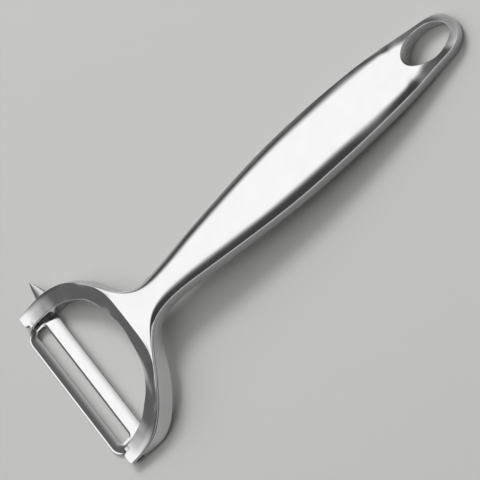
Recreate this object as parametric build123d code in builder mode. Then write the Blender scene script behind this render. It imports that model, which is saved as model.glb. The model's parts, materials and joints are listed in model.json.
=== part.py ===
"""Y-shaped vegetable peeler: a polished two-shell handle and yoke, a swivel blade and an eye remover.

The frame: the centre of the hanging hole is the origin, on the plane that the peeler lies on.
The handle runs from there towards -Y to the yoke, +Z is up, out of the crowned front face, and
the eye remover is on the -X arm. The peeler lies on the flat under the end of its handle and on
the feet under its two arms, so the handle climbs a little towards the yoke.
All lengths are millimetres.
"""
import os
from math import cos, radians, sin, sqrt

from build123d import *

# Driving sizes of the handle
hole_length = 20.0
hole_width = 12.0
end_rim = 2.3  # metal left between the hanging hole and the end of the handle
grip_length = 115.5  # from the centre of the hanging hole to the narrowest place of the neck
grip_width = 22.8
neck_width = 11.2
arch_height = 13.6  # of the joint between the shells, where it is highest
crown_height = 3.9  # of the front face above that joint, at the middle of the grip

# Driving sizes of the yoke
arch_setback = 19.5  # from the neck to the inside of the arch
gap_depth = 28.1  # from the inside of the arch to the tips of the arms
arm_width = 5.95
lip_width = 1.45  # of each arm over the blade's end
crease_setback = 3.3  # of the middle of the crowned face's edge behind the inside of the arch
crease_bow = 2.0  # how far that edge bows back at its middle
crease_depth = 2.7  # along the handle, of the bevel from that edge down towards the arch

# Driving sizes of the two shells
skin_thickness = 0.8
floor_thickness = 1.4
wall_thickness = 1.8
hollow_start = 15.0  # from the centre of the hanging hole to the hollow in the grip
boss_radius = 3.2
dowel_radius = 1.5
dowel_depth = 2.2  # in each of the two shells
dowel_shares = (0.24, 0.53, 0.82)  # of the grip's length from the hanging hole

# Driving sizes of the blade and its bearings
blade_length = 56.4
blade_front = 5.8  # from the pivot to the front edge
blade_back = 7.4  # from the pivot to the back edge
blade_thickness = 0.7
blade_arc_radius = 14.0
blade_crest = 1.3  # of the blade's top above the pivot
blade_corner_radius = 6.2
slot_margin = 3.3  # from the blade's end to the end of its slot
blade_tilt = 8.0  # degrees, front edge down
slot_front = 2.4
slot_back = 2.0
pivot_setback = 3.25  # behind the tips of the arms
pivot_height = 2.15
pin_radius = 0.55
pin_reach = 3.0  # of the pin into its bush
ear_radius = 1.5
ear_thickness = 0.8
ear_front = 2.0  # from the pivot to the front of the ear's root
ear_back = 3.0
running_clearance = 0.04
end_clearance = 0.3  # between the blade's ends and the arms
bush_width = 3.0
bush_height = 1.8
bush_recess = 0.4  # of its outer end inside the arm's outer wall
ledge_setback = 1.4  # of the lip over the blade's ends behind the tips of the arms
recess_back = 6.6  # from the pivot to the back of the hollow under that lip

# Driving sizes of the eye remover
horn_setback = 10.5  # behind the tips of the arms
horn_height = 3.3
horn_length = 7.0
horn_base_radius = 2.05
horn_waist_radius = 1.0
horn_tip_radius = 0.35
horn_sink = 1.0  # of its foot inside the yoke's half width
tang_radius = 1.2
tang_length = 2.2

overrun = 2.0  # how far a cut runs past what it cuts
halvings = 30  # steps of the search along a line
shell_section_count = 26  # of the crowned face
hollow_section_count = 12

# The grip's half width: share of the grip's length from the hole, share of half the grip's width
grip_shares = (
    (0.074, 0.807),
    (0.182, 0.925),
    (0.294, 0.982),
    (0.407, 1.0),
    (0.515, 0.982),
    (0.627, 0.908),
    (0.739, 0.789),
    (0.880, 0.618),
)
# The round end: share of the way from the hole's centre to the end, share of half the grip's width
end_shares = ((0.813, 0.447), (0.512, 0.614), (0.08, 0.689))
# The shoulder, at two heights: share of the yoke's length from the neck, share of the way out
# from half the neck's width to half the yoke's width
top_shoulder_shares = (
    (0.147, 0.017),
    (0.237, 0.066),
    (0.328, 0.177),
    (0.374, 0.266),
    (0.460, 0.506),
    (0.561, 0.679),
    (0.708, 0.812),
    (0.782, 0.882),
    (0.863, 0.952),
)
low_shoulder_shares = (
    (0.137, 0.020),
    (0.221, 0.092),
    (0.277, 0.255),
    (0.303, 0.373),
    (0.374, 0.613),
    (0.485, 0.815),
    (0.542, 0.893),
    (0.651, 0.985),
    (0.765, 1.018),
)
# The inside of the arch: share of the gap's depth from the arch, share of half the gap's width
arch_shares = (
    (0.071, 0.389),
    (0.139, 0.579),
    (0.214, 0.699),
    (0.374, 0.837),
    (0.537, 0.935),
    (0.687, 0.976),
)
straight_gap_share = 0.854
straight_arm_share = 0.950
crease_width_share = 0.617  # of the gap's width
# The joint between the shells, along the grip and then along the yoke: share of the length
# from the hanging hole or the neck, share of the arch's height
end_joint_share = 0.245
grip_joint_shares = (
    (0.0, 0.350),
    (0.234, 0.567),
    (0.407, 0.715),
    (0.580, 0.820),
    (0.753, 0.920),
    (0.883, 0.985),
    (1.0, 0.985),
)
yoke_joint_shares = (
    (0.137, 0.965),
    (0.305, 0.945),
    (0.410, 0.938),
    (0.477, 0.895),
    (0.542, 0.782),
    (0.609, 0.665),
    (0.674, 0.549),
    (0.763, 0.418),
    (0.849, 0.331),
    (0.935, 0.268),
    (1.0, 0.247),
)
# The underside, in the same shares
end_under_share = 0.08
heel_flat_shares = (0.85, 0.38)  # of the way from the hole's centre to the end
grip_under_shares = (
    (0.0, 0.055),
    (0.074, 0.132),
    (0.234, 0.294),
    (0.407, 0.441),
    (0.580, 0.544),
    (0.753, 0.632),
    (0.883, 0.643),
    (1.0, 0.630),
)
yoke_under_shares = ((0.137, 0.574), (0.305, 0.511), (0.410, 0.427), (0.578, 0.184))
foot_flat_shares = (0.71, 0.85)  # of the yoke's length from the neck
tip_under_share = 0.14
# The crowned face: share of the length from the hole or the neck, share of the crown's height
end_crown_shares = (0.12, 0.33, 0.43, 0.58)
grip_crown_shares = (0.68, 0.86, 0.96, 1.0, 0.99, 0.96, 0.93, 0.90)
neck_crown_share = 0.87
yoke_crown_shares = (0.84, 0.82, 0.80, 0.78, 0.74)
crown_overhang_share = 1.04  # width of its sections over the width of the handle there
# Half of one section of the crown: share of its half width, share of its height
crown_section_shares = ((1.0, 0.20), (0.93, 0.52), (0.80, 0.76), (0.50, 0.94))

# Places that follow from the driving sizes
end_y = hole_length / 2 + end_rim
neck_y = -grip_length
yoke_length = arch_setback + gap_depth
arch_y = neck_y - arch_setback
tip_y = arch_y - gap_depth
grip_half = grip_width / 2
neck_half = neck_width / 2
blade_end = blade_length / 2
gap_half = blade_end - lip_width
yoke_half = gap_half + arm_width
crease_half = gap_half * crease_width_share
slot_length = blade_length - 2 * slot_margin
block_height = arch_height + 2 * crown_height
pivot_y = tip_y + pivot_setback
block_inner = blade_end + end_clearance
ear_inner = blade_end - ear_thickness
horn_y = tip_y + horn_setback


def along_grip(share):
    """Place along the handle at a share of the grip's length from the hanging hole."""
    return -grip_length * share


def along_yoke(share):
    """Place along the handle at a share of the yoke's length from the neck."""
    return neck_y - yoke_length * share


def out_from_neck(share):
    """Distance from the middle at a share of the way from the neck's to the yoke's half width."""
    return neck_half + (yoke_half - neck_half) * share


joint_points = [(end_y, arch_height * end_joint_share)]
joint_points += [(along_grip(a), arch_height * h) for a, h in grip_joint_shares]
joint_points += [(along_yoke(a), arch_height * h) for a, h in yoke_joint_shares]


joint_line = Spline(*[(0, y, z) for y, z in joint_points])


def point_at(line, y):
    """Point of a line towards the yoke at a place along the handle, found by halving."""
    start, end = 0, 1
    for step in range(halvings):
        middle = (start + end) / 2
        if (line @ middle).Y > y:
            start = middle
        else:
            end = middle
    return line @ end


def joint_height(y):
    """Height of the joint between the shells at a place along the handle."""
    return point_at(joint_line, y).Z


def draw_plan(shoulder_shares):
    """Draw the plan of handle and yoke: round the outside from tip to tip, then round the arch."""
    side = [(grip_half * w, end_y * a) for a, w in end_shares]
    side += [(grip_half * w, along_grip(a)) for a, w in grip_shares]
    side += [(neck_half, neck_y)]
    side += [(out_from_neck(w), along_yoke(a)) for a, w in shoulder_shares]
    side += [(yoke_half, along_yoke(straight_arm_share)), (yoke_half, tip_y)]
    outside = Spline(*[(-x, y) for x, y in reversed(side)], (0, end_y), *side)
    straight_y = arch_y - gap_depth * straight_gap_share
    side = [(gap_half * w, arch_y - gap_depth * a) for a, w in arch_shares]
    side += [(gap_half, straight_y)]
    arch = Spline(*[(-x, y) for x, y in reversed(side)], (0, arch_y), *side)
    Polyline(outside @ 0, (-gap_half, tip_y), arch @ 0)
    Polyline(outside @ 1, (gap_half, tip_y), arch @ 1)


def draw_joint(lift):
    """Draw the line of the joint in the side view, lifted, from the end to the arms' tips."""
    return Spline(*[(y, z + lift) for y, z in joint_points])


def draw_crown_section(half_width, height, foot):
    """Draw one section of the crown: a flat foot, two short sides and the curved face."""
    right = [(half_width * w, height * h) for w, h in crown_section_shares]
    left = [(-x, z) for x, z in reversed(right)]
    face = Spline(*right, (0, height), *left)
    Polyline(face @ 1, (-half_width, -foot), (half_width, -foot), face @ 0)


with BuildPart() as body_block:
    with BuildSketch(Plane.XY):
        with BuildLine():
            draw_plan(low_shoulder_shares)
        make_face()
    with BuildSketch(Plane.XY.offset(block_height)):
        with BuildLine():
            draw_plan(top_shoulder_shares)
        make_face()
    loft(ruled=True)

# The crown's half width and height, from past the round end to past its crease
crown_places = [(grip_half * end_shares[0][1], end_y + overrun)]
crown_places += [(grip_half * w, end_y * a) for a, w in end_shares]
crown_places += [(grip_half * w, along_grip(a)) for a, w in grip_shares]
crown_places += [(neck_half, neck_y)]
crown_places += [
    (out_from_neck(w), along_yoke(a)) for a, w in top_shoulder_shares[: len(yoke_crown_shares)]
]
crown_shares = (*end_crown_shares, *grip_crown_shares, neck_crown_share, *yoke_crown_shares)
width_line = Spline(*crown_places)
height_line = Spline(*[(0, y, crown_height * h) for (w, y), h in zip(crown_places, crown_shares)])


def crown_stations(start, end, count):
    """Evenly spaced sections of the crown: place, half width and height of each."""
    places = [start + (end - start) * step / (count - 1) for step in range(count)]
    return [(y, point_at(width_line, y).X, point_at(height_line, y).Z) for y in places]


shell_stations = crown_stations(end_y + overrun, crown_places[-1][1], shell_section_count)
hollow_stations = crown_stations(-hollow_start, neck_y, hollow_section_count)
dowel_places = [(0, along_grip(share)) for share in dowel_shares]

with BuildPart() as crown_hollow:
    for y, half_width, height in hollow_stations:
        with BuildSketch(Plane.XZ.offset(-y).shift_origin((0, y, joint_height(y)))):
            with BuildLine():
                inner = half_width - skin_thickness
                draw_crown_section(inner, height - skin_thickness, overrun)
            make_face()
    loft()
    with BuildSketch(Plane.XY):
        with Locations(*dowel_places):
            Circle(boss_radius)
    extrude(amount=block_height, mode=Mode.SUBTRACT)

# Thin polished cover: the crowned face of the handle and the flat band over the yoke's arms
with BuildPart() as front_shell:
    for y, half_width, height in shell_stations:
        with BuildSketch(Plane.XZ.offset(-y).shift_origin((0, y, joint_height(y)))):
            with BuildLine():
                draw_crown_section(half_width * crown_overhang_share, height, overrun)
            make_face()
    loft()
    # The bevel that ends the crown above the arch, in front of the bowed crease
    bevel_foot = joint_height(arch_y) + skin_thickness
    bevel_rise = crown_height * yoke_crown_shares[-2] - skin_thickness
    crease_y = arch_y + crease_setback
    for height in (bevel_foot, block_height):
        run = crease_depth * (height - bevel_foot) / bevel_rise
        middle = crease_y - crease_depth + run
        with BuildSketch(Plane.XY.offset(height)):
            with BuildLine():
                left = (-crease_half, middle - crease_bow)
                right = (crease_half, middle - crease_bow)
                ThreePointArc(left, (0, middle), right)
                Polyline(right, (yoke_half, middle - crease_bow), (yoke_half, tip_y - overrun))
                Polyline(left, (-yoke_half, middle - crease_bow), (-yoke_half, tip_y - overrun))
                Line((yoke_half, tip_y - overrun), (-yoke_half, tip_y - overrun))
            make_face()
    loft(ruled=True, mode=Mode.SUBTRACT)
    # The band over the whole joint
    with BuildSketch(Plane.YZ):
        with BuildLine():
            low = draw_joint(0)
            high = draw_joint(skin_thickness)
            Line(low @ 0, high @ 0)
            Line(low @ 1, high @ 1)
        make_face()
    extrude(amount=2 * yoke_half, both=True)
    add(crown_hollow.part, mode=Mode.SUBTRACT)
    add(body_block.part, mode=Mode.INTERSECT)
    with BuildSketch(Plane.YZ):
        with BuildLine():
            low = draw_joint(0)
            Polyline(low @ 1, (tip_y, -overrun), (end_y, -overrun), low @ 0)
        make_face()
    extrude(amount=2 * yoke_half, both=True, mode=Mode.SUBTRACT)
    with BuildSketch(Plane.XY):
        Ellipse(hole_width / 2, hole_length / 2)
    extrude(amount=block_height, mode=Mode.SUBTRACT)
    for x, y in dowel_places:
        with BuildSketch(Plane.XY.offset(joint_height(y) - dowel_depth)):
            with Locations((x, y)):
                Circle(dowel_radius)
        extrude(amount=2 * dowel_depth, mode=Mode.SUBTRACT)
    # The lip over each end of the blade stops short of the arm's tip
    with BuildSketch(Plane.XY):
        with Locations((0, tip_y)):
            Rectangle(2 * block_inner, 2 * ledge_setback)
    extrude(amount=block_height, mode=Mode.SUBTRACT)
front_shell.part.label = "front_shell"

# Hollow of the grip in the back shell, with the bosses of the dowels left standing
with BuildPart() as grip_hollow:
    with BuildSketch(Plane.XY):
        with BuildLine():
            side = [(w - wall_thickness, y) for y, w, height in hollow_stations]
            wall = Spline(*side)
            Polyline(wall @ 0, (0, side[0][1]), (0, side[-1][1]), wall @ 1)
        make_face()
        mirror(about=Plane.YZ)
    extrude(amount=block_height)
    with BuildSketch(Plane.YZ):
        with BuildLine():
            floor_points = [
                (along_grip(a), arch_height * h + floor_thickness) for a, h in grip_under_shares
            ]
            floor = Spline(*floor_points)
            Polyline(
                floor @ 1,
                (neck_y, block_height),
                (floor_points[0][0], block_height),
                floor @ 0,
            )
        make_face()
    extrude(amount=grip_width, both=True, mode=Mode.INTERSECT)
    with BuildSketch(Plane.XY):
        with Locations(*dowel_places):
            Circle(boss_radius)
    extrude(amount=block_height, mode=Mode.SUBTRACT)

# Cast tray: the side walls and the underside of the handle, and the two arms
with BuildPart() as back_shell:
    with BuildSketch(Plane.YZ):
        with BuildLine():
            top = draw_joint(0)
            heel_end, heel_start = [end_y * share for share in heel_flat_shares]
            foot_start, foot_end = [along_yoke(share) for share in foot_flat_shares]
            Polyline(top @ 0, (end_y, arch_height * end_under_share), (heel_end, 0), (heel_start, 0))
            under = [(along_grip(a), arch_height * h) for a, h in grip_under_shares]
            under += [(along_yoke(a), arch_height * h) for a, h in yoke_under_shares]
            Spline((heel_start, 0), *under, (foot_start, 0))
            Polyline(
                (foot_start, 0),
                (foot_end, 0),
                (tip_y, arch_height * tip_under_share),
                top @ 1,
            )
        make_face()
    extrude(amount=2 * yoke_half, both=True)
    add(body_block.part, mode=Mode.INTERSECT)
    add(grip_hollow.part, mode=Mode.SUBTRACT)
    with BuildSketch(Plane.XY):
        Ellipse(hole_width / 2, hole_length / 2)
    extrude(amount=block_height, mode=Mode.SUBTRACT)
    for x, y in dowel_places:
        with BuildSketch(Plane.XY.offset(joint_height(y) - dowel_depth)):
            with Locations((x, y)):
                Circle(dowel_radius)
        extrude(amount=2 * dowel_depth, mode=Mode.SUBTRACT)
    # The hollow under the lip, where the blade's ends swing
    with BuildSketch(Plane.XY):
        with Locations((0, (pivot_y + recess_back + tip_y - overrun) / 2)):
            Rectangle(2 * block_inner, pivot_y + recess_back - tip_y + overrun)
    extrude(amount=block_height, mode=Mode.SUBTRACT)
    # The slots for the bushes, right through both arms
    with BuildSketch(Plane.YZ):
        with Locations((pivot_y, pivot_height)):
            Rectangle(bush_width, bush_height)
    extrude(amount=2 * yoke_half, both=True, mode=Mode.SUBTRACT)
    # The seat of the eye remover's foot and tang in the -X arm
    horn_foot = yoke_half - horn_sink
    with BuildSketch(Plane.YZ.offset(-horn_foot)):
        with Locations((horn_y, horn_height)):
            Circle(horn_base_radius)
    extrude(amount=-yoke_half, mode=Mode.SUBTRACT)
    with BuildSketch(Plane.YZ.offset(tang_length - horn_foot)):
        with Locations((horn_y, horn_height)):
            Circle(tang_radius)
    extrude(amount=-tang_length, mode=Mode.SUBTRACT)
back_shell.part.label = "back_shell"

# Dowels pressed into the bosses of both shells
with BuildPart() as shell_dowels:
    for x, y in dowel_places:
        with BuildSketch(Plane.XY.offset(joint_height(y) - dowel_depth)):
            with Locations((x, y)):
                Circle(dowel_radius)
        extrude(amount=2 * dowel_depth)
shell_dowels.part.label = "shell_dowels"

# Swivel blade: an arched strip with a long slot, its ends turned down into ears for the pins
tilt = radians(blade_tilt)
blade_section = Plane((0, pivot_y, pivot_height), x_dir=(0, cos(tilt), sin(tilt)), z_dir=(1, 0, 0))
blade_face = Plane((0, pivot_y, pivot_height), x_dir=(1, 0, 0), z_dir=(0, -sin(tilt), cos(tilt)))
blade_width = blade_front + blade_back
blade_middle = (blade_back - blade_front) / 2
arc_drop = blade_arc_radius - sqrt(blade_arc_radius**2 - (blade_width / 2) ** 2)
edge_height = blade_crest - arc_drop

with BuildPart() as blade:
    with BuildSketch(blade_section):
        with BuildLine():
            top = ThreePointArc(
                (-blade_front, edge_height), (blade_middle, blade_crest), (blade_back, edge_height)
            )
            low = ThreePointArc(
                (-blade_front, edge_height - blade_thickness),
                (blade_middle, blade_crest - blade_thickness),
                (blade_back, edge_height - blade_thickness),
            )
            Line(top @ 0, low @ 0)
            Line(top @ 1, low @ 1)
        make_face()
    extrude(amount=blade_end, both=True)
    with BuildSketch(blade_face):
        with Locations((0, blade_middle)):
            RectangleRounded(blade_length, blade_width, blade_corner_radius)
        with Locations((0, (slot_back - slot_front) / 2)):
            SlotOverall(slot_length, slot_front + slot_back, mode=Mode.SUBTRACT)
    extrude(amount=blade_width, both=True, mode=Mode.INTERSECT)
    root_height = blade_crest - blade_thickness / 2
    for side in (-1, 1):
        with BuildSketch(blade_section.offset(side * ear_inner)):
            with BuildLine():
                Polyline((-ear_front, root_height / 2), (-ear_front, root_height), (ear_back, root_height))
                Line((ear_back, root_height), (ear_back, root_height / 2))
                CenterArc((0, 0), ear_radius, 180, 180)
            make_hull()
        extrude(amount=side * ear_thickness)
    with BuildSketch(blade_section):
        Circle(pin_radius)
    extrude(amount=blade_length, both=True, mode=Mode.SUBTRACT)
blade.part.label = "blade"

# A pin in each ear of the blade, turning in a bush pressed into each arm from outside
pieces = [front_shell, back_shell, shell_dowels, blade]
for name, side in (("left", -1), ("right", 1)):
    with BuildPart() as pivot_pin:
        with BuildSketch(blade_section.offset(side * ear_inner)):
            Circle(pin_radius)
        extrude(amount=side * (block_inner + pin_reach - ear_inner))
    pivot_pin.part.label = name + "_pivot_pin"
    with BuildPart() as pivot_bush:
        with BuildSketch(Plane.YZ.offset(side * block_inner)):
            with Locations((pivot_y, pivot_height)):
                Rectangle(bush_width, bush_height)
        extrude(amount=side * (yoke_half - bush_recess - block_inner))
        with BuildSketch(Plane.YZ.offset(side * block_inner)):
            with Locations((pivot_y, pivot_height)):
                Circle(pin_radius + running_clearance)
        extrude(amount=side * (pin_reach + end_clearance), mode=Mode.SUBTRACT)
    pivot_bush.part.label = name + "_pivot_bush"
    pieces += [pivot_pin, pivot_bush]

# Eye remover: a short horn on the -X arm, with a tang pressed into it
with BuildPart() as eye_remover:
    with BuildSketch(Plane.XY.offset(horn_height)):
        with BuildLine():
            foot = (-horn_foot, horn_y + horn_base_radius)
            waist = (-horn_foot - horn_length / 2, horn_y + horn_waist_radius)
            tip = (-horn_foot - horn_length, horn_y + horn_tip_radius)
            side_line = Spline(foot, waist, tip)
            Polyline(
                side_line @ 1,
                (-horn_foot - horn_length, horn_y),
                (tang_length - horn_foot, horn_y),
                (tang_length - horn_foot, horn_y + tang_radius),
                (-horn_foot, horn_y + tang_radius),
                foot,
            )
        make_face()
    revolve(axis=Axis((0, horn_y, horn_height), (1, 0, 0)))
eye_remover.part.label = "eye_remover"
pieces += [eye_remover]

os.makedirs("parts", exist_ok=True)
for piece in pieces:
    export_step(piece.part, "parts/" + piece.part.label + ".step")
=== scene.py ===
"""Looks of a Y-shaped vegetable peeler: a polished two-shell handle and yoke, a swivel blade and
an eye remover.

The peeler lies on the floor at z = 0. The origin is the centre of the solids' hanging hole, the
handle runs towards -Y to the yoke, and the crowned front face looks up. Sizes are in millimetres
and are turned into metres when a mesh is made. Every surface is worked out with numpy on a grid
of two parameters.
"""
import json
from math import cos, pi, radians, sin

import bmesh
import bpy
import numpy as np
from mathutils import Matrix, Vector


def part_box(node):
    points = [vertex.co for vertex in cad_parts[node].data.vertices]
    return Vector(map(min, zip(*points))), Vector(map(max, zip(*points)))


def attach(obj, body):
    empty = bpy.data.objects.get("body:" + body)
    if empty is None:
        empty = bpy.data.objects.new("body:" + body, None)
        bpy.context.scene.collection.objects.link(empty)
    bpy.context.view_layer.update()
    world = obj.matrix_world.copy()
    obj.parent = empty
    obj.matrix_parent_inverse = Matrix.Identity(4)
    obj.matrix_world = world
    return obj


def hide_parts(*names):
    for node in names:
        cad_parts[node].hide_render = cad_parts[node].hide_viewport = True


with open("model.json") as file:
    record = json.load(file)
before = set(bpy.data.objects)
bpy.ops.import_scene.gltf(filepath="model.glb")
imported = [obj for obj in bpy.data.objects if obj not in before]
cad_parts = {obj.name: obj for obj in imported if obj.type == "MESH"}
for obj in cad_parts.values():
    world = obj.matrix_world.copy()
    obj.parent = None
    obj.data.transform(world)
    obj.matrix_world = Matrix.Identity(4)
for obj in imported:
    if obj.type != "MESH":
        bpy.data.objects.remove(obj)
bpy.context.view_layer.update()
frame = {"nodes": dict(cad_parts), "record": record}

MM = 0.001

# Places taken from the frame
shell_low, shell_high = [np.array(corner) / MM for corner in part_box("front_shell")]
blade_low, blade_high = [np.array(corner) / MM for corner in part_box("blade")]
swivel = frame["record"]["behaviour"]["joints"][0]
pivot_y, pivot_z = swivel["pos_m"][1] / MM, swivel["pos_m"][2] / MM
end_y = shell_high[1] - 1.0
tip_y = shell_low[1]
blade_end = blade_high[0]

# Driving sizes of the handle and the yoke. The round end and the hanging hole follow the photo,
# and lie up to 1 mm off the solids' own.
hole_middle = -0.3
hole_half_length = 8.9
hole_half_width = 5.6
grip_length = 115.5
grip_half = 11.4
neck_half = 5.6
arch_height = 13.6
crown_height = 3.9
skin_thickness = 0.8
arch_setback = 19.5
arm_width = 5.95
lip_width = 1.45
ledge_setback = 1.4
crease_setback = 3.3
crease_bow = 3.0
crease_power = 3.2
recess_back = 6.6
recess_clearance = 0.3

neck_y = -grip_length
arch_y = neck_y - arch_setback
gap_depth = arch_y - tip_y
yoke_length = arch_setback + gap_depth
gap_half = blade_end - lip_width
yoke_half = gap_half + arm_width
block_height = arch_height + 2 * crown_height
lip_x = blade_end + recess_clearance

# Edges of the cover and the tray
edge_radius = 0.3
cover_seam_radius = 0.15
tray_seam_radius = 0.4
foot_radius = 2.0
wall_draft = 2.4
draft_end_y, draft_fade = pivot_y + recess_back + 1, 7
foot_share, neck_foot_share = 0.2, 0.4
inner_foot_share = 0.6
tip_corner = 1.1
lip_edge = 0.35

# The crown's section: the shares of its half width at which its flank begins and has its full
# slope, over the handle, at the shoulders, beside the hanging hole and past it, and the slopes
flank_flat, flank_full = 0.38, 0.94
shoulder_flat = 0.72
ring_flat, ring_full, end_full = 0.25, 0.82, 0.6
slim_start = -70
steepest_flank = 0.63
steepest_end = 0.25
flank_easing, easing_start, easing_length = 0.08, -45, 20
edge_spare = 0.65
least_rise = 0.3

# The band: height of the crease, the slopes across at the crease and along the arms with the
# places between which they change, and the outer edge's roll and rise
crease_rise = 1.9
crease_slope, arm_slope = 0.5, 0.12
slope_start, slope_length = 3, 13
level_start, level_length = -145, 8
bow_start = -105
roll_width = 2.2
roll_depth = 0.3
outer_raise = 0.25

# The blade, about its pivot: strip, slot, bend of the ends, ground bevel and raised front lip
blade_front, blade_back = -6.35, 7.4
slot_front, slot_back = -2.4, 2.3
slot_half = 24.9
blade_corners = (5.4, 1.6)
slot_corners = (1.3, 1.5)
strip_bow = 15.2
strip_crest = 1.3
strip_thickness = 0.7
strip_tilt = radians(8)
bend_width, bend_slope = 5.6, 0.42
bevel_width, bevel_depth = 0.75, 0.36
lip_flat = 0.6
lip_rise = 0.62
ear_radius, ear_start = 1.5, blade_end - 0.8
ear_sides = 49

# The horn of the eye remover and the bushes' slots
horn_base, horn_tip = np.array([-31.4, -152.7, 3.6]), np.array([-39.0, -153.0, 3.9])
horn_half_width, horn_half_height = 2.7, 1.0
horn_lean = radians(18)
bush_slot = np.array([12.0, 3.1, 1.7])
slot_start = blade_end + 2

# Sides of the soft box: a direction on the floor, and the lean in degrees towards it at which the
# box is dark and at which it is bright. The last one cuts the corner between +X and -Y.
box_fades = (
    (1, 0, -88, -52), (1, 0, 35, 12), (0, 1, -66, -24), (0, 1, 38, 8), (0.71, -0.71, 45, 25),
)
box_level = 1.57
wall_level = 0.18
room_level = 0.07
lamp_energy = 6.5

# Long lens, and the width of the view where the peeler lies
camera_lens = 1000.0
sensor_width = 36.0
view_width = 153.35 * MM

# The outline, in shares of the sizes above, as place along and half width
grip_shares = (
    (0.074, 0.807), (0.182, 0.925), (0.294, 0.982), (0.407, 1.0),
    (0.515, 0.982), (0.627, 0.908), (0.739, 0.789), (0.880, 0.618),
)
end_shares = ((0.813, 0.447), (0.512, 0.614), (0.08, 0.689))
top_shoulder_shares = (
    (0.147, 0.017), (0.237, 0.066), (0.328, 0.177), (0.374, 0.266), (0.460, 0.506),
    (0.561, 0.679), (0.708, 0.812), (0.782, 0.882), (0.863, 0.952),
)
low_shoulder_shares = (
    (0.137, 0.020), (0.221, 0.092), (0.277, 0.255), (0.303, 0.373), (0.374, 0.613),
    (0.485, 0.815), (0.542, 0.893), (0.651, 0.985), (0.765, 1.018),
)
straight_arm_share = 0.950
arch_shares = (
    (0.071, 0.389), (0.139, 0.579), (0.214, 0.699),
    (0.374, 0.837), (0.537, 0.935), (0.687, 0.976),
)
straight_gap_share = 0.854

# Heights of the joint between the shells and of the underside, in shares of the arch's height
end_joint_share = 0.245
grip_joint_shares = (
    (0.0, 0.350), (0.234, 0.567), (0.407, 0.715), (0.580, 0.820),
    (0.753, 0.920), (0.883, 0.985), (1.0, 0.985),
)
yoke_joint_shares = (
    (0.137, 0.965), (0.305, 0.945), (0.410, 0.938), (0.477, 0.895), (0.542, 0.782), (0.609, 0.665),
    (0.674, 0.549), (0.763, 0.418), (0.849, 0.331), (0.935, 0.268), (1.0, 0.247),
)
end_under_share = 0.08
heel_flat_shares = (0.85, 0.38)
grip_under_shares = (
    (0.0, 0.055), (0.074, 0.132), (0.234, 0.294), (0.407, 0.441),
    (0.580, 0.544), (0.753, 0.632), (0.883, 0.643), (1.0, 0.630),
)
yoke_under_shares = ((0.137, 0.574), (0.305, 0.511), (0.410, 0.427), (0.578, 0.184))
foot_flat_shares = (0.71, 0.85)
tip_under_share = 0.14

# Height of the crown in shares of its greatest height, at the outline's places
crown_shares = (
    0.12, 0.33, 0.43, 0.58, 0.68, 0.86, 0.96, 1.0, 0.99,
    0.96, 0.93, 0.90, 0.87, 0.84, 0.82, 0.80, 0.78, 0.74,
)


def along_grip(share):
    """Place along the handle at a share of the grip's length from the hanging hole."""
    return -grip_length * share


def along_yoke(share):
    """Place along the handle at a share of the yoke's length from the neck."""
    return neck_y - yoke_length * share


def out_from_neck(share):
    """Distance from the middle at a share of the way from the neck's to the yoke's half width."""
    return neck_half + (yoke_half - neck_half) * share


def curve_through(points):
    """Natural cubic spline through points, against the length of its chords as a share of all.

    Between two points it is the cubic whose second derivative runs straight from one point's
    bend to the next one's. Returns a function of an array of shares.
    """
    points = np.array(points, float)
    knots = np.concatenate([[0], np.cumsum(np.linalg.norm(np.diff(points, axis=0), axis=1))])
    knots /= knots[-1]
    gaps = np.diff(knots)
    inner = np.arange(1, len(points) - 1)
    system = np.eye(len(points))
    system[inner, inner - 1] = gaps[:-1]
    system[inner, inner] = 2 * (gaps[:-1] + gaps[1:])
    system[inner, inner + 1] = gaps[1:]
    known = np.zeros_like(points)
    known[1:-1] = 6 * np.diff(np.diff(points, axis=0) / gaps[:, None], axis=0)
    bends = np.linalg.solve(system, known)

    def at(shares):
        shares = np.clip(np.asarray(shares, float), 0, 1)
        i = np.clip(np.searchsorted(knots, shares, side="right") - 1, 0, len(points) - 2)
        gap = gaps[i][..., None]
        before = (shares - knots[i])[..., None]
        after = (knots[i + 1] - shares)[..., None]
        cubic = (bends[i] * after**3 + bends[i + 1] * before**3) / (6 * gap)
        start = (points[i] / gap - bends[i] * gap / 6) * after
        return cubic + start + (points[i + 1] / gap - bends[i + 1] * gap / 6) * before

    return at


def height_along(points):
    """Height as a function of the place along the handle, read off the spline through points."""
    line = curve_through(points)(np.linspace(0, 1, 3000))
    return lambda y: np.interp(-y, -line[:, 0], line[:, 1])


def ease(value):
    """Smooth step from 0 to 1 as the value goes from 0 to 1: 3v^2 - 2v^3."""
    value = np.clip(value, 0, 1)
    return value * value * (3 - 2 * value)


def outside_curve(shoulder_shares):
    """Spline round the outside from the left tip over the round end to the right tip."""
    side = [(grip_half * w, end_y * a) for a, w in end_shares]
    side += [(grip_half * w, along_grip(a)) for a, w in grip_shares]
    side += [(neck_half, neck_y)]
    side += [(out_from_neck(w), along_yoke(a)) for a, w in shoulder_shares]
    side += [(yoke_half, along_yoke(straight_arm_share)), (yoke_half, tip_y)]
    return curve_through([(-x, y) for x, y in reversed(side)] + [(0, end_y)] + side)


def arch_curve():
    """Spline round the inside of the arch from the left tip to the right tip."""
    side = [(gap_half * w, arch_y - gap_depth * a) for a, w in arch_shares]
    side += [(gap_half, arch_y - gap_depth * straight_gap_share), (gap_half, tip_y)]
    return curve_through([(-x, y) for x, y in reversed(side)] + [(0, arch_y)] + side)


top_outside = outside_curve(top_shoulder_shares)
low_outside = outside_curve(low_shoulder_shares)
arch_inside = arch_curve()

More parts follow.
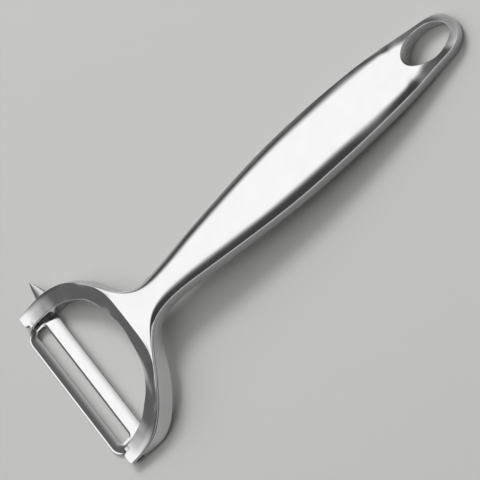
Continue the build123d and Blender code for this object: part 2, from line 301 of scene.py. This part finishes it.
joint_height = height_along(
    [(end_y, arch_height * end_joint_share)]
    + [(along_grip(a), arch_height * h) for a, h in grip_joint_shares]
    + [(along_yoke(a), arch_height * h) for a, h in yoke_joint_shares]
)
heel_end, heel_start = end_y * heel_flat_shares[0], end_y * heel_flat_shares[1]
foot_start, foot_end = along_yoke(foot_flat_shares[0]), along_yoke(foot_flat_shares[1])
under_curve = height_along(
    [(heel_start, 0)]
    + [(along_grip(a), arch_height * h) for a, h in grip_under_shares]
    + [(along_yoke(a), arch_height * h) for a, h in yoke_under_shares]
    + [(foot_start, 0)]
)
crown_places = [end_y + 2.0]
crown_places += [end_y * a for a, w in end_shares]
crown_places += [along_grip(a) for a, w in grip_shares]
crown_places += [neck_y]
crown_places += [along_yoke(a) for a, w in top_shoulder_shares[:5]]
crown_rise = height_along(
    [(y, crown_height * h - skin_thickness) for y, h in zip(crown_places, crown_shares)]
)


def under_height(y):
    """Height of the underside: flat heel and feet, and the spline between them."""
    at_end = arch_height * end_under_share * (y - heel_end) / (end_y - heel_end)
    at_tip = arch_height * tip_under_share * (foot_end - y) / (foot_end - tip_y)
    between = np.where((y < heel_start) & (y > foot_start), under_curve(y), 0)
    return np.maximum.reduce([at_end, at_tip, np.maximum(between, 0)])


def outside_at(share, height):
    """Point of the outside at a share of its length: straight from the low to the top outline."""
    rise = (height / block_height)[..., None]
    return low_outside(share) * (1 - rise) + top_outside(share) * rise


# Stations of the handle from the round end past the hanging hole to the crease, then of the
# band from the middle of the crease along the right arm to its tip
ring_count = 60
grip_count = 200
arm_count = 130
across_count = 44
band_count = 36
ring_end_y = -14.0
catch_up = 25
height_steps = 4
crease_y = arch_y + crease_setback
crease_end_y = crease_y - crease_bow
hole_turn = np.linspace(-pi / 2, pi / 2, 300)
hole_line = np.stack([
    hole_half_width * np.cos(hole_turn), hole_middle + hole_half_length * np.sin(hole_turn),
], axis=-1)

dense_share = np.linspace(0.5, 1, 6000)
dense_outline = top_outside(dense_share)


def share_at(y):
    """Share of the outside's length at a place along the handle, on the right."""
    return np.interp(-y, -dense_outline[:, 1], dense_share)


def half_width_at(y):
    """Half width of the top outline at a place along the handle."""
    return np.interp(-y, -dense_outline[:, 1], dense_outline[:, 0])


def grip_stations(inset):
    """Inner points and outside shares of the handle's stations, and how far each bows.

    The inner line is the hanging hole's right half and then the middle line. The bow carries
    the last stations over to the arc of the crease.
    """
    angle = np.linspace(pi / 2, -pi / 2, ring_count, endpoint=False)
    ring = np.stack([
        (hole_half_width + inset) * np.cos(angle),
        hole_middle + (hole_half_length + inset) * np.sin(angle),
    ], axis=-1)
    first = np.linspace(0.5, share_at(ring_end_y), ring_count, endpoint=False)
    hole_start = hole_middle - hole_half_length
    inner_y = np.linspace(hole_start - inset, crease_y, grip_count)
    lag = (ring_end_y - hole_start) * (1 - ease((hole_start - inner_y) / catch_up))
    bow = ease((bow_start - inner_y) / (bow_start - crease_y))
    middle = np.stack([np.zeros(grip_count), inner_y], axis=-1)
    outer_y = inner_y + lag + (crease_end_y - crease_y) * bow
    share = np.concatenate([first, share_at(outer_y)])
    return np.concatenate([ring, middle]), share, np.concatenate([np.zeros(ring_count), bow])


def spread(count):
    """Shares from 0 to 1 that lie close together near both ends: half of 1 - cos."""
    return (1 - np.cos(np.linspace(0, pi, count))) / 2


def grip_plan(inner, outer, bow):
    """Plan of the handle's grid: straight from the inner to the outer point, and at the crease
    a curve y0 + (y1 - y0) t^p, which meets the outline without a corner."""
    t = spread(across_count)[None, :, None]
    plan = inner[:, None] * (1 - t) + outer[:, None] * t
    sag = (outer - inner)[:, 1:] * bow[:, None]
    plan[..., 1] += sag * (t[..., 0] ** crease_power - t[..., 0])
    return plan


def arm_stations(inner_line):
    """Shares of the arch's and the outside's length for the stations past the crease's end.

    At a step t they are the outer line's e + (1 - e) t and the inner line's
    i + (1 - i) (t + k t (1 - t)^2), with k such that past the crease's end both lines run on at
    the rates that they have along the crease, which softens the fold across the band there.
    """
    first = share_at(crease_end_y)
    crease_end = top_outside(first)
    arch_share = np.linspace(0.5, 1, 2000)
    start = arch_share[np.linalg.norm(inner_line(arch_share) - crease_end, axis=1).argmin()]
    crease_run = np.hypot(crease_end[0], crease_power * crease_bow)
    outline_run = np.linalg.norm(top_outside(first + 0.001) - crease_end) * 1000
    gain = (start - 0.5) * (1 - first) * outline_run / ((1 - start) * crease_run) - 1
    step = np.linspace(0, 1, arm_count)[1:]
    inner = start + (1 - start) * (step + gain * step * (1 - step) ** 2)
    return start, inner, first + (1 - first) * step


def distance_to(plan, line):
    """Least distance of each point of a grid in plan to the points of a line."""
    flat = plan.reshape(-1, 2)
    parts = [
        np.sqrt(((part[:, None] - line[None]) ** 2).sum(axis=2).min(axis=1))
        for part in np.array_split(flat, 40)
    ]
    return np.concatenate(parts).reshape(plan.shape[:-1])


def edge_round(distance, width, depth=None):
    """How far a rounded edge falls at a distance d from it: h (1 - sqrt(1 - (1 - d / w)^2))."""
    inside = 1 - np.clip(distance / width, 0, 1)
    return (width if depth is None else depth) * (1 - np.sqrt(1 - inside**2))


def crown_fall(s, flat, full):
    """Fall of the crown's section at a share s of its half width, per half width and slope.

    Its slope is a smooth step from 0 at the flat share to 1 at the full share, so that with
    v = (s - flat) / (full - flat) the fall is (full - flat) (v^3 - v^4 / 2) up to the full share
    and (full - flat) (v - 1 / 2) past it.
    """
    v = np.maximum(s - flat, 0) / (full - flat)
    return (full - flat) * np.where(v < 1, v**3 - v**4 / 2, v - 0.5)


class Sheet:
    """A grid over the right half of the peeler: the handle's patch and the band's patch.

    The section is the share of the half width at each point of the handle's patch. It starts at
    the share called first, which is 0 but beside the hanging hole. The share b runs from the
    band's outer edge to its inner one.
    """

    def __init__(self, inner_line, outer_height, inset=0.0, draft=0.0):
        """Lay out the plan of both patches, with the outside at the height of each station.

        The inset moves every edge into the metal, and the draft the inside of the arch.
        """
        inner, share, bow = grip_stations(inset)
        outer = self.outside(share, outer_height, inset)
        self.grip = grip_plan(inner, outer, bow)
        self.width = half_width_at(np.minimum(outer[:, 1], ring_end_y))[:, None]
        self.first = 1 - np.linalg.norm(outer - inner, axis=1)[:, None] / self.width
        self.section = self.first + (1 - self.first) * spread(across_count)[None]
        start, arm_inner, arm_outer = arm_stations(inner_line)
        crease = self.grip[-1]
        self.draft = draft
        beside = self.beside(inner_line, 0.5 + (start - 0.5) * spread(across_count), inset)
        outside = self.outside(arm_outer, outer_height, inset)
        line_out = np.concatenate([crease, outside])
        line_in = np.concatenate([beside, self.beside(inner_line, arm_inner, inset)])
        b = spread(band_count)[None, :, None]
        self.band = line_out[:, None] * (1 - b) + line_in[:, None] * b
        self.b = np.broadcast_to(b[..., 0], self.band.shape[:2])

    @staticmethod
    def outside(share, height_at, inset):
        """Outside points at the height that the function gives for their own place."""
        point = top_outside(share)
        for step in range(height_steps):
            height = height_at(point[..., 1])
            point = outside_at(share, height)
        ahead = outside_at(np.minimum(share + 0.001, 1), height)
        back = outside_at(share - 0.001, height)
        return point - inset * square_to(ahead - back)

    def beside(self, inner_line, share, inset):
        """Points of the inner line, moved into the metal by the inset and the draft."""
        run = inner_line(np.minimum(share + 0.001, 1)) - inner_line(share - 0.001)
        point = inner_line(share)
        fade = ease((point[:, 1] - draft_end_y) / draft_fade)[:, None]
        return point + (inset + self.draft * fade) * square_to(run)


def square_to(run):
    """Unit vectors square to the runs of a line from the middle to the right tip, outwards."""
    square = np.stack([-run[..., 1], run[..., 0]], axis=-1)
    return square / np.linalg.norm(square, axis=-1, keepdims=True)


def quads_of(rows, columns, start=0):
    """Faces of a grid of points, by their numbers, row after row."""
    index = start + np.arange(rows * columns).reshape(rows, columns)
    quads = np.stack([index[:-1, :-1], index[:-1, 1:], index[1:, 1:], index[1:, :-1]], axis=-1)
    return quads.reshape(-1, 4)


def solid_from(patches):
    """One closed mesh from grids of points in mm: each grid's quads, its mirror image in x,
    welded where they meet, with the faces turned outwards."""
    points, faces, start = [], [], 0
    for grid in patches:
        rows, columns = grid.shape[:2]
        quads = quads_of(rows, columns, start)
        mirrored = grid * np.array([-1, 1, 1])
        points += [grid.reshape(-1, 3), mirrored.reshape(-1, 3)]
        faces += [quads, quads[:, ::-1] + rows * columns]
        start += 2 * rows * columns
    return np.concatenate(points) * MM, np.concatenate(faces)


def mesh_piece(name, points, faces, material, sharp_angle=35, weld=0.002):
    """Object of a mesh: doubles merged, faces turned outwards, smooth but at its sharp edges."""
    mesh = bpy.data.meshes.new(name)
    mesh.from_pydata(points.tolist(), [], faces.tolist())
    work = bmesh.new()
    work.from_mesh(mesh)
    bmesh.ops.remove_doubles(work, verts=work.verts, dist=weld * MM)
    bmesh.ops.dissolve_degenerate(work, edges=work.edges, dist=weld * MM / 4)
    bmesh.ops.recalc_face_normals(work, faces=work.faces)
    if work.calc_volume(signed=True) < 0:
        bmesh.ops.reverse_faces(work, faces=work.faces)
    work.to_mesh(mesh)
    work.free()
    mesh.polygons.foreach_set("use_smooth", np.ones(len(mesh.polygons), bool))
    mesh.set_sharp_from_angle(angle=radians(sharp_angle))
    piece = bpy.data.objects.new(name, mesh)
    bpy.context.scene.collection.objects.link(piece)
    mesh.materials.append(material)
    return piece


def lift(plan, height):
    """Grid of points from a plan and a height over it."""
    return np.concatenate([plan, height[..., None]], axis=-1)


def wall(top, low, full_top, full_low, radius_top, radius_low):
    """Strips from a top sheet's edge down to a low one's, with a quarter round at both ends.

    The edges are inset by the radii. The full edges aren't, and the wall runs along the
    straight lines between them. At an angle a of a round the height is r (1 - cos a) from its
    end and the place is 1 - sin a of the way back to the inset edge.
    """
    high, deep = top[:, 2], low[:, 2]
    rows = []
    for angle in np.linspace(0, pi / 2, 6):
        rows += [(high - radius_top * (1 - cos(angle)), 1 - sin(angle), 0)]
    for share in (0.2, 0.4, 0.6, 0.8):
        z = (high - radius_top) * (1 - share) + (deep + radius_low) * share
        rows += [(z, 0, 0)]
    for angle in np.linspace(pi / 2, 0, 6):
        rows += [(deep + radius_low * (1 - cos(angle)), 0, 1 - sin(angle))]
    strips = []
    for z, share_top, share_low in rows:
        t = ((high - z) / (high - deep))[:, None]
        plan = full_top[:, :2] * (1 - t) + full_low[:, :2] * t
        plan = plan + (top - full_top)[:, :2] * share_top + (low - full_low)[:, :2] * share_low
        strips += [np.concatenate([plan, z[:, None]], axis=1)]
    return np.stack(strips, axis=1)


def edges_of(grip, band):
    """The open edges of a half sheet: outside, hanging hole, inside of the arch and tip."""
    outside = np.concatenate([grip[:, -1], band[across_count:, 0]])
    hole = grip[: ring_count + 1, 0]
    return outside, hole, band[:, -1], band[-1]


def linear(code):
    """Linear colour from an sRGB hex code."""
    values = [int(code[i:i + 2], 16) / 255 for i in (1, 3, 5)]
    return tuple(v / 12.92 if v <= 0.04045 else ((v + 0.055) / 1.055) ** 2.4 for v in values) + (1,)


def add_node(tree, kind, links=None, **settings):
    """Add a node; a setting is one of its properties or else the value of an input socket."""
    node = tree.nodes.new(kind)
    for name, value in settings.items():
        if hasattr(node, name):
            setattr(node, name, value)
        else:
            node.inputs[name.replace("_", " ")].default_value = value
    for name, socket in (links or {}).items():
        tree.links.new(socket, node.inputs[name])
    return node


def new_material(name):
    """Empty node material, its tree and its output node."""
    material = bpy.data.materials.new(name)
    material.use_nodes = True
    material.node_tree.nodes.clear()
    output = material.node_tree.nodes.new("ShaderNodeOutputMaterial")
    return material, material.node_tree, output


# The range of the noise that shows, how far it moves the roughness, and how a hair is drawn out
haze_low, haze_high = 0.3, 0.7
gloss_swing = 0.12
hair_stretch = 0.06


def metal(name, color, dark, roughness, polish_mm, scratch_mm):
    """Polished metal: fine polishing haze in its colour and gloss, and hair scratches along Y."""
    material, tree, output = new_material(name)
    place = add_node(tree, "ShaderNodeTexCoord").outputs["Object"]
    haze = add_node(
        tree, "ShaderNodeTexNoise", {"Vector": place}, Scale=1 / (polish_mm * MM), Detail=3.0,
    )
    along = add_node(tree, "ShaderNodeMapping", {"Vector": place}, Scale=(1, hair_stretch, 1))
    hair = add_node(
        tree, "ShaderNodeTexNoise", {"Vector": along.outputs["Vector"]},
        Scale=1 / (scratch_mm * MM), Detail=2.0,
    )
    tint = add_node(
        tree, "ShaderNodeMix", {"Factor": haze.outputs["Fac"]},
        data_type="RGBA", A=linear(color), B=linear(dark),
    )
    gloss = add_node(
        tree, "ShaderNodeMapRange", {"Value": haze.outputs["Fac"]},
        From_Min=haze_low, From_Max=haze_high,
        To_Min=roughness * (1 - gloss_swing), To_Max=roughness * (1 + gloss_swing),
    )
    bump = add_node(
        tree, "ShaderNodeBump", {"Height": hair.outputs["Fac"]}, Strength=0.05, Distance=0.01 * MM,
    )
    shader = add_node(tree, "ShaderNodeBsdfPrincipled", {
        "Base Color": tint.outputs["Result"],
        "Roughness": gloss.outputs["Result"],
        "Normal": bump.outputs["Normal"],
    }, Metallic=1.0)
    tree.links.new(shader.outputs["BSDF"], output.inputs["Surface"])
    return material


# Stainless steel sheet, pressed and buffed: grey mirror with a soft polishing haze
shell_steel = metal("buffed_stainless_steel", "#dedede", "#d8d8d9", 0.15, 6.0, 0.25)
# Zinc alloy casting, plated and buffed: a little darker and softer than the cover
cast_zinc = metal("plated_zinc_casting", "#cecece", "#c2c2c4", 0.22, 5.0, 0.3)
# Hardened stainless strip, ground bright
blade_steel = metal("ground_blade_steel", "#e0e0e0", "#d8d8d9", 0.14, 4.0, 0.2)
# Drawn stainless wire and turned stainless rod
wire_steel = metal("drawn_stainless_wire", "#cacacc", "#bebec0", 0.26, 2.0, 0.2)


def nylon(name, color, roughness, grain_mm):
    """Moulded nylon: an even dull black with a fine grain from the mould."""
    material, tree, output = new_material(name)
    place = add_node(tree, "ShaderNodeTexCoord").outputs["Object"]
    grain = add_node(tree, "ShaderNodeTexNoise", {"Vector": place}, Scale=1 / (grain_mm * MM))
    bump = add_node(
        tree, "ShaderNodeBump", {"Height": grain.outputs["Fac"]}, Strength=0.3, Distance=0.02 * MM,
    )
    shader = add_node(
        tree, "ShaderNodeBsdfPrincipled", {"Normal": bump.outputs["Normal"]},
        Base_Color=linear(color), Roughness=roughness,
    )
    tree.links.new(shader.outputs["BSDF"], output.inputs["Surface"])
    return material


# Black nylon 66, injection moulded
bush_nylon = nylon("moulded_black_nylon", "#18181a", 0.5, 0.3)


def edge_raise(y):
    """How far the outer edge rises past the crease's end, where the crease runs out into it.

    It rises from 0.3 to 0.4 of the yoke's length and sinks to 0.3 of itself from 0.55 to 0.85.
    """
    along = (neck_y - y) / yoke_length
    return outer_raise * ease((along - 0.3) / 0.1) * (1 - 0.7 * ease((along - 0.55) / 0.3))


def skin_height(y):
    """Height of the cover's outer edge over the joint between the shells."""
    return joint_height(y) + skin_thickness


def joint_sheet(sheet, seam_fall):
    """The joint between the shells, which falls evenly across the band to its inside."""
    grip_z = joint_height(sheet.grip[..., 1])
    band_z = joint_height(sheet.band[..., 1]) - seam_fall * sheet.b
    return [lift(sheet.grip, grip_z), lift(sheet.band, band_z)]


def front_shell(seam_fall):
    """The polished cover: the crown over the handle and its shoulders, and the band that falls
    from the crease to the inside of the arch and runs on, rolled off outwards, along the arms."""
    sheets = [
        cover_top(Sheet(arch_inside, skin_height, edge_radius), seam_fall),
        cover_top(Sheet(arch_inside, skin_height), seam_fall),
        joint_sheet(Sheet(arch_inside, joint_height, cover_seam_radius), seam_fall),
        joint_sheet(Sheet(arch_inside, joint_height), seam_fall),
    ]
    for grip, band in sheets:
        notch_tip(band)
    upper, full_upper, lower, full_lower = sheets
    edges = [edges_of(*sheet) for sheet in (upper, lower, full_upper, full_lower)]
    strips = [wall(*lines, edge_radius, cover_seam_radius) for lines in zip(*edges)]
    return solid_from(upper + lower + strips)


def cover_top(sheet, seam_fall=0.0):
    """Top of the cover over a sheet's two patches.

    Over the handle the crown falls to the edge with its flank's slope. Near the crease it rises
    by 1 - 3s^2 + 2s^3 of the crease's height at a share s of the way out, so that the crease
    runs out into the edge. Across the band the height runs straight from the outer edge to the
    inner one, and along the arms a roll (1 - d / w)^2 lowers it at a distance d from the outside.
    """
    y = sheet.grip[..., 1]
    row_y = y[:, :1]
    s = np.clip(sheet.section, 0, 1)
    slim = ease((row_y - slim_start) / (neck_y - slim_start))
    ring = ease((sheet.grip[:, -1:, 1] - ring_end_y) / 12)
    far = ease((row_y - 3) / 6)
    shoulder = ease((neck_y + 2 - row_y) / (neck_y + 2 - crease_y))
    flat = (flank_flat * (1 - slim) + shoulder_flat * shoulder) * (1 - ring)
    flat += ring_flat * (1 - far) * ring
    full = (flank_full + (1 - flank_full) * slim) * (1 - ring)
    full += (ring_full + (end_full - ring_full) * far) * ring
    fall = crown_fall(sheet.section, flat, full) - crown_fall(sheet.first, flat, full)
    whole = crown_fall(1.0, flat, full) - crown_fall(sheet.first, flat, full)
    steepest = steepest_flank - flank_easing * ease((row_y - easing_start) / easing_length)
    limit = (steepest * (1 - far) + steepest_end * far) * sheet.width * whole
    rise = np.clip(crown_rise(y) * (1 - ring) + limit * ring, least_rise, limit + edge_spare)
    rise = rise * (1 - shoulder) + crease_rise * shoulder
    drop = np.minimum(rise, limit) * (1 - shoulder**4)
    rest = (rise - drop) * (1 - shoulder * ease(s))
    base = skin_height(y) + edge_raise(y) * ease(s)
    grip_z = base + drop * (1 - fall / whole) + rest
    band = sheet.band
    out_z = skin_height(band[:, 0, 1]) + edge_raise(band[:, 0, 1])
    out_z[:across_count] = grip_z[-1]
    base = skin_height(band[..., 1]) - seam_fall * sheet.b
    band_z = base + (out_z - base[:, 0])[:, None] * (1 - sheet.b)
    beyond = np.zeros(len(band))
    beyond[across_count:] = ease(np.arange(1, arm_count) / 40)
    roll = np.clip(1 - sheet.b * arm_width / roll_width, 0, 1) ** 2
    band_z -= roll_depth * roll * beyond[:, None]
    band_z[:across_count, 0] = grip_z[-1]
    return [lift(sheet.grip, grip_z), lift(sheet.band, band_z)]


def fall_to_arch():
    """How far the joint lies lower at the inside of the arch, at each station of the band.

    It gives the band its slope across, which eases from the crease's to the arms' and is level
    at their tips.
    """
    grip, band = cover_top(Sheet(arch_inside, skin_height))
    outer, inner = band[:, 0], band[:, -1]
    eased = 1 - ease((crease_y - slope_start - outer[:, 1]) / slope_length)
    slope = arm_slope + (crease_slope - arm_slope) * eased
    slope *= 1 - ease((level_start - outer[:, 1]) / level_length)
    reach = np.linalg.norm(outer[:, :2] - inner[:, :2], axis=1)
    return (skin_height(inner[:, 1]) - outer[:, 2] + slope * reach)[:, None]


def draw_back(patch, back):
    """Stretch y over the last millimetres so that the tip ends by an amount sooner."""
    start = tip_y + 3
    share = np.clip((start - patch[..., 1]) / (start - tip_y), 0, None)
    end = start - share * (start - tip_y - back)
    patch[..., 1] = np.where(share > 0, end, patch[..., 1])


def round_tip(patch):
    """Round the outer corner of an arm's tip: r - sqrt(r^2 - (x - x0)^2)."""
    draw_back(patch, edge_round(yoke_half - patch[..., 0], tip_corner))


def notch_tip(patch):
    """Round the tip's outer corner and set the lip's end back beside the blade's end."""
    lip = ledge_setback * ease((lip_x + lip_edge - patch[..., 0]) / (2 * lip_edge))
    draw_back(patch, lip + edge_round(yoke_half - patch[..., 0], tip_corner))


def recessed_inside(share):
    """Inside of the back shell: the arch, stepped out where the blade's ends swing."""
    point = arch_inside(share)
    step = ease((pivot_y + recess_back - point[..., 1]) / 0.8)
    side = np.sign(point[..., 0])
    reach = np.maximum(np.abs(point[..., 0]), lip_x)
    point[..., 0] = side * (np.abs(point[..., 0]) * (1 - step) + reach * step)
    return point


def back_shell(seam_fall):
    """The cast tray: straight walls from the joint to the low outline, a rounded lower edge and
    the underside's curve along the handle. The rounding is held to a share of the height."""
    low = Sheet(recessed_inside, under_height, draft=wall_draft)
    arch_line = np.concatenate([low.band[:, -1], low.band[:, -1] * np.array([-1, 1])])
    low_line = low_outside(np.linspace(0.5, 1, 1200))
    mirrored_end = low_line[:200] * np.array([-1, 1])
    sheets = [
        joint_sheet(Sheet(recessed_inside, joint_height, radius), seam_fall)
        for radius in (tray_seam_radius, 0.0)
    ]
    under = []
    for plan in (low.grip, low.band):
        inner = np.minimum(distance_to(plan, hole_line), distance_to(plan, arch_line))
        outer = distance_to(plan, np.concatenate([low_line, mirrored_end]))
        y = plan[..., 1]
        share = foot_share + (neck_foot_share - foot_share) * ease((-y - 95) / 25)
        foot = np.minimum(foot_radius, share * (joint_height(y) - under_height(y)))
        inner_round = inner_foot_share * edge_round(inner / inner_foot_share, foot_radius, foot)
        outer_round = edge_round(outer, foot_radius, foot)
        under += [lift(plan, under_height(y) + inner_round + outer_round)]
    sheets += [under]
    for grip, band in sheets:
        round_tip(band)
    upper, full_upper, under = sheets
    edges = [edges_of(*sheet) for sheet in (upper, under, full_upper, under)]
    strips = [wall(*lines, tray_seam_radius, 0.0) for lines in zip(*edges)]
    return solid_from(upper + under + strips)


def half_outline(half, low, high, radii):
    """Right half of a rectangle with rounded corners, from the middle of its low side round."""
    points = [np.stack([np.linspace(0, half - radii[0], 60), np.full(60, low)], axis=-1)]
    for turn, y, radius in ((-pi / 2, low + radii[0], radii[0]), (0, high - radii[1], radii[1])):
        angle = np.linspace(turn, turn + pi / 2, 14)
        centre = np.array([half - radius, y])
        points += [centre + radius * np.stack([np.cos(angle), np.sin(angle)], axis=-1)]
    points += [np.stack([np.linspace(half - radii[1], 0, 60), np.full(60, high)], axis=-1)]
    return np.concatenate(points)


def strip_height(x, y):
    """Height of the strip's top: a circular arc across it, turned down at its two ends."""
    height = strip_crest - strip_bow + np.sqrt(strip_bow**2 - y**2)
    near = 1 - (blade_end - np.abs(x)) / bend_width
    return height - bend_slope * bend_width * crown_fall(near, 0, 0.65)


def blade_strip():
    """The blade: an arched strip with a long slot, ground at the slot's back edge and raised to a
    lip along its front edge, with a round ear at both ends."""
    slot = half_outline(slot_half, slot_front, slot_back, slot_corners)
    outer = half_outline(blade_end, blade_front, blade_back, blade_corners)
    across = spread(34)[None, :, None]
    plan = slot[:, None] * (1 - across) + outer[:, None] * across
    x, y = plan[..., 0], plan[..., 1]
    edge = distance_to(plan, outer)
    lip = np.clip(lip_flat - edge, 0, lip_flat) * lip_rise
    lip *= ease((-y - 0.5) / 3) * ease((blade_end - 0.6 - x) / 2)
    ground = np.clip(1 - distance_to(plan, slot) / bevel_width, 0, 1)
    bevel = bevel_depth * ground * ease((y - slot_front) / (slot_back - slot_front))
    top = lift(plan, strip_height(x, y) + lip - edge_round(edge, 0.25, 0.1) - bevel)
    under = lift(plan, strip_height(x, y) - strip_thickness)
    share = np.linspace(0, 1, 4)[None, :, None]
    walls = [top[:, k][:, None] * (1 - share) + under[:, k][:, None] * share for k in (0, -1)]
    angle = np.linspace(0, 2 * pi, ear_sides)[:, None]
    ear_x = np.array([ear_start, ear_start, blade_end, blade_end])[None]
    ear_r = np.array([0, ear_radius, ear_radius, 0])[None]
    ear = np.stack([
        np.broadcast_to(ear_x, (ear_sides, 4)), ear_r * np.cos(angle), ear_r * np.sin(angle),
    ], axis=-1)
    turned = []
    for patch, tilt in zip([top, under] + walls + [ear], [strip_tilt] * 4 + [0]):
        y, z = patch[..., 1], patch[..., 2]
        turned += [np.stack([
            patch[..., 0],
            pivot_y + y * cos(tilt) - z * sin(tilt),
            pivot_z + y * sin(tilt) + z * cos(tilt),
        ], axis=-1)]
    return solid_from(turned)


def horn():
    """The eye remover: a flattened cone. At a share t of its length its section is an ellipse of
    (1 - t)^0.8 + 0.09 sqrt(1 - t) times the half width and height, turned by the lean."""
    t = np.linspace(0, 1, 60)[:, None]
    angle = np.linspace(0, 2 * pi, 97)[None]
    taper = (1 - t) ** 0.8 + 0.09 * np.sqrt(np.maximum(1 - t, 0))
    line = horn_base * (1 - t[..., None]) + horn_tip * t[..., None]
    wide, high = np.cos(angle) * horn_half_width, np.sin(angle) * horn_half_height
    section = np.stack([
        np.zeros(angle.shape), wide * cos(horn_lean) - high * sin(horn_lean),
        wide * sin(horn_lean) + high * cos(horn_lean),
    ], axis=-1)
    grid = line + section * taper[..., None]
    return grid.reshape(-1, 3) * MM, quads_of(*grid.shape[:2])


def cut_slots(piece):
    """Cut the slots of both bushes right through the arms, with a box as wide as a slot."""
    for side in (-1, 1):
        corners = np.array([[i, j, k] for i in (-1, 1) for j in (-1, 1) for k in (-1, 1)])
        place = np.array([side * (slot_start + bush_slot[0] / 2), pivot_y, pivot_z])
        sides = [(0, 1, 3, 2), (4, 6, 7, 5), (0, 4, 5, 1), (2, 3, 7, 6), (0, 2, 6, 4), (1, 5, 7, 3)]
        points = (corners * bush_slot / 2 + place) * MM
        box = mesh_piece("slot_cutter", points, np.array(sides), cast_zinc)
        cutter = piece.modifiers.new("slot", "BOOLEAN")
        cutter.object = box
        cutter.operation = "DIFFERENCE"
        cutter.solver = "EXACT"
        whole = piece.evaluated_get(bpy.context.evaluated_depsgraph_get())
        mesh = bpy.data.meshes.new_from_object(whole)
        piece.modifiers.clear()
        piece.data = mesh
        bpy.data.objects.remove(box)
    piece.data.set_sharp_from_angle(angle=radians(35))


seam_fall = fall_to_arch()
cover = mesh_piece("polished_cover", *front_shell(seam_fall), shell_steel, sharp_angle=25)
tray = mesh_piece("cast_tray", *back_shell(seam_fall), cast_zinc)
cut_slots(tray)
strip = mesh_piece("swivel_blade", *blade_strip(), blade_steel, sharp_angle=25)
spike = mesh_piece("eye_remover_horn", *horn(), wire_steel)
for piece, node, slot, body in (
    (cover, "front_shell", "polished_shell", "frame"),
    (tray, "back_shell", "cast_shell", "frame"),
    (strip, "blade", "blade_steel", "blade"),
    (spike, "eye_remover", "pin_steel", "frame"),
):
    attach(piece, body)
    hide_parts(node)

for name, node in frame["nodes"].items():
    finish = bush_nylon if name.endswith("bush") else wire_steel
    node.data.materials.clear()
    node.data.materials.append(finish)


def stage_floor():
    """Pale floor: a wide square just under the peeler."""
    size = 6.0
    mesh = bpy.data.meshes.new("floor")
    corners = [(-size, -size, 0), (size, -size, 0), (size, size, 0), (-size, size, 0)]
    mesh.from_pydata(corners, [], [(0, 1, 2, 3)])
    floor = bpy.data.objects.new("floor", mesh)
    floor.location.z = -0.05 * MM
    bpy.context.scene.collection.objects.link(floor)
    material, tree, output = new_material("matt_pale_paper")
    shader = add_node(
        tree, "ShaderNodeBsdfPrincipled", Base_Color=linear("#d0d0ce"), Roughness=0.8,
    )
    tree.links.new(shader.outputs["BSDF"], output.inputs["Surface"])
    mesh.materials.append(material)


def studio_light():
    """World: a wide soft box overhead that fades towards its sides, faint grey walls past both
    ends of the peeler, and dark elsewhere. A lamp lights the floor and leaves no mark in the metal.
    """
    world = bpy.data.worlds.new("studio")
    bpy.context.scene.world = world
    world.use_nodes = True
    tree = world.node_tree
    tree.nodes.clear()
    direction = add_node(tree, "ShaderNodeTexCoord").outputs["Generated"]
    axes = add_node(tree, "ShaderNodeSeparateXYZ", {"Vector": direction}).outputs
    level = None
    for x, y, dark, bright in box_fades:
        across = add_node(tree, "ShaderNodeVectorMath", {0: direction}, operation="DOT_PRODUCT")
        across.inputs[1].default_value = (x, y, 0)
        lean = add_node(tree, "ShaderNodeMath", {0: across.outputs["Value"], 1: axes["Z"]},
                        operation="ARCTAN2")
        fade = add_node(
            tree, "ShaderNodeMapRange", {"Value": lean.outputs["Value"]},
            interpolation_type="SMOOTHSTEP", From_Min=radians(dark), From_Max=radians(bright),
            To_Max=box_level if level is None else 1.0,
        ).outputs["Result"]
        level = fade if level is None else add_node(
            tree, "ShaderNodeMath", {0: level, 1: fade}, operation="MULTIPLY",
        ).outputs["Value"]
    away = add_node(tree, "ShaderNodeMath", {0: axes["Y"]}, operation="ABSOLUTE")
    wall_fade = add_node(
        tree, "ShaderNodeMapRange", {"Value": away.outputs["Value"]},
        interpolation_type="SMOOTHSTEP", From_Min=0.57, From_Max=0.82,
        To_Min=room_level, To_Max=wall_level,
    )
    total = add_node(tree, "ShaderNodeMath", {0: level, 1: wall_fade.outputs["Result"]},
                     operation="ADD")
    background = add_node(tree, "ShaderNodeBackground", {"Strength": total.outputs["Value"]})
    add_node(tree, "ShaderNodeOutputWorld", {"Surface": background.outputs["Background"]})
    data = bpy.data.lights.new("floor_lamp", "AREA")
    data.shape = "DISK"
    data.size = 0.5
    data.energy = lamp_energy
    lamp = bpy.data.objects.new("floor_lamp", data)
    aim = Vector((0, -0.08, 0))
    lamp.location = aim + Vector((-0.55, 0.15, 0.82)) * 1.3
    lamp.rotation_euler = (lamp.location - aim).to_track_quat("Z", "Y").to_euler()
    lamp.visible_glossy = False
    bpy.context.scene.collection.objects.link(lamp)


def photo_camera():
    """Camera at the photograph's angle: its right, up and back directions in the frame."""
    right = Vector((0.5605, 0.6959, -0.4489)).normalized()
    back = Vector((0.417, 0.2308, 0.8790)).normalized()
    up = back.cross(right).normalized()
    right = up.cross(back)
    aim = Vector((6.9, -86.5, 12.9)) * MM
    data = bpy.data.cameras.new("camera")
    data.lens = camera_lens
    data.sensor_width = sensor_width
    camera = bpy.data.objects.new("camera", data)
    turn = Matrix((right, up, back)).transposed().to_4x4()
    distance = view_width * camera_lens / sensor_width
    camera.matrix_world = Matrix.Translation(aim + back * distance) @ turn
    bpy.context.scene.collection.objects.link(camera)
    bpy.context.scene.camera = camera


stage_floor()
studio_light()
photo_camera()
bpy.context.scene.view_settings.view_transform = "Standard"
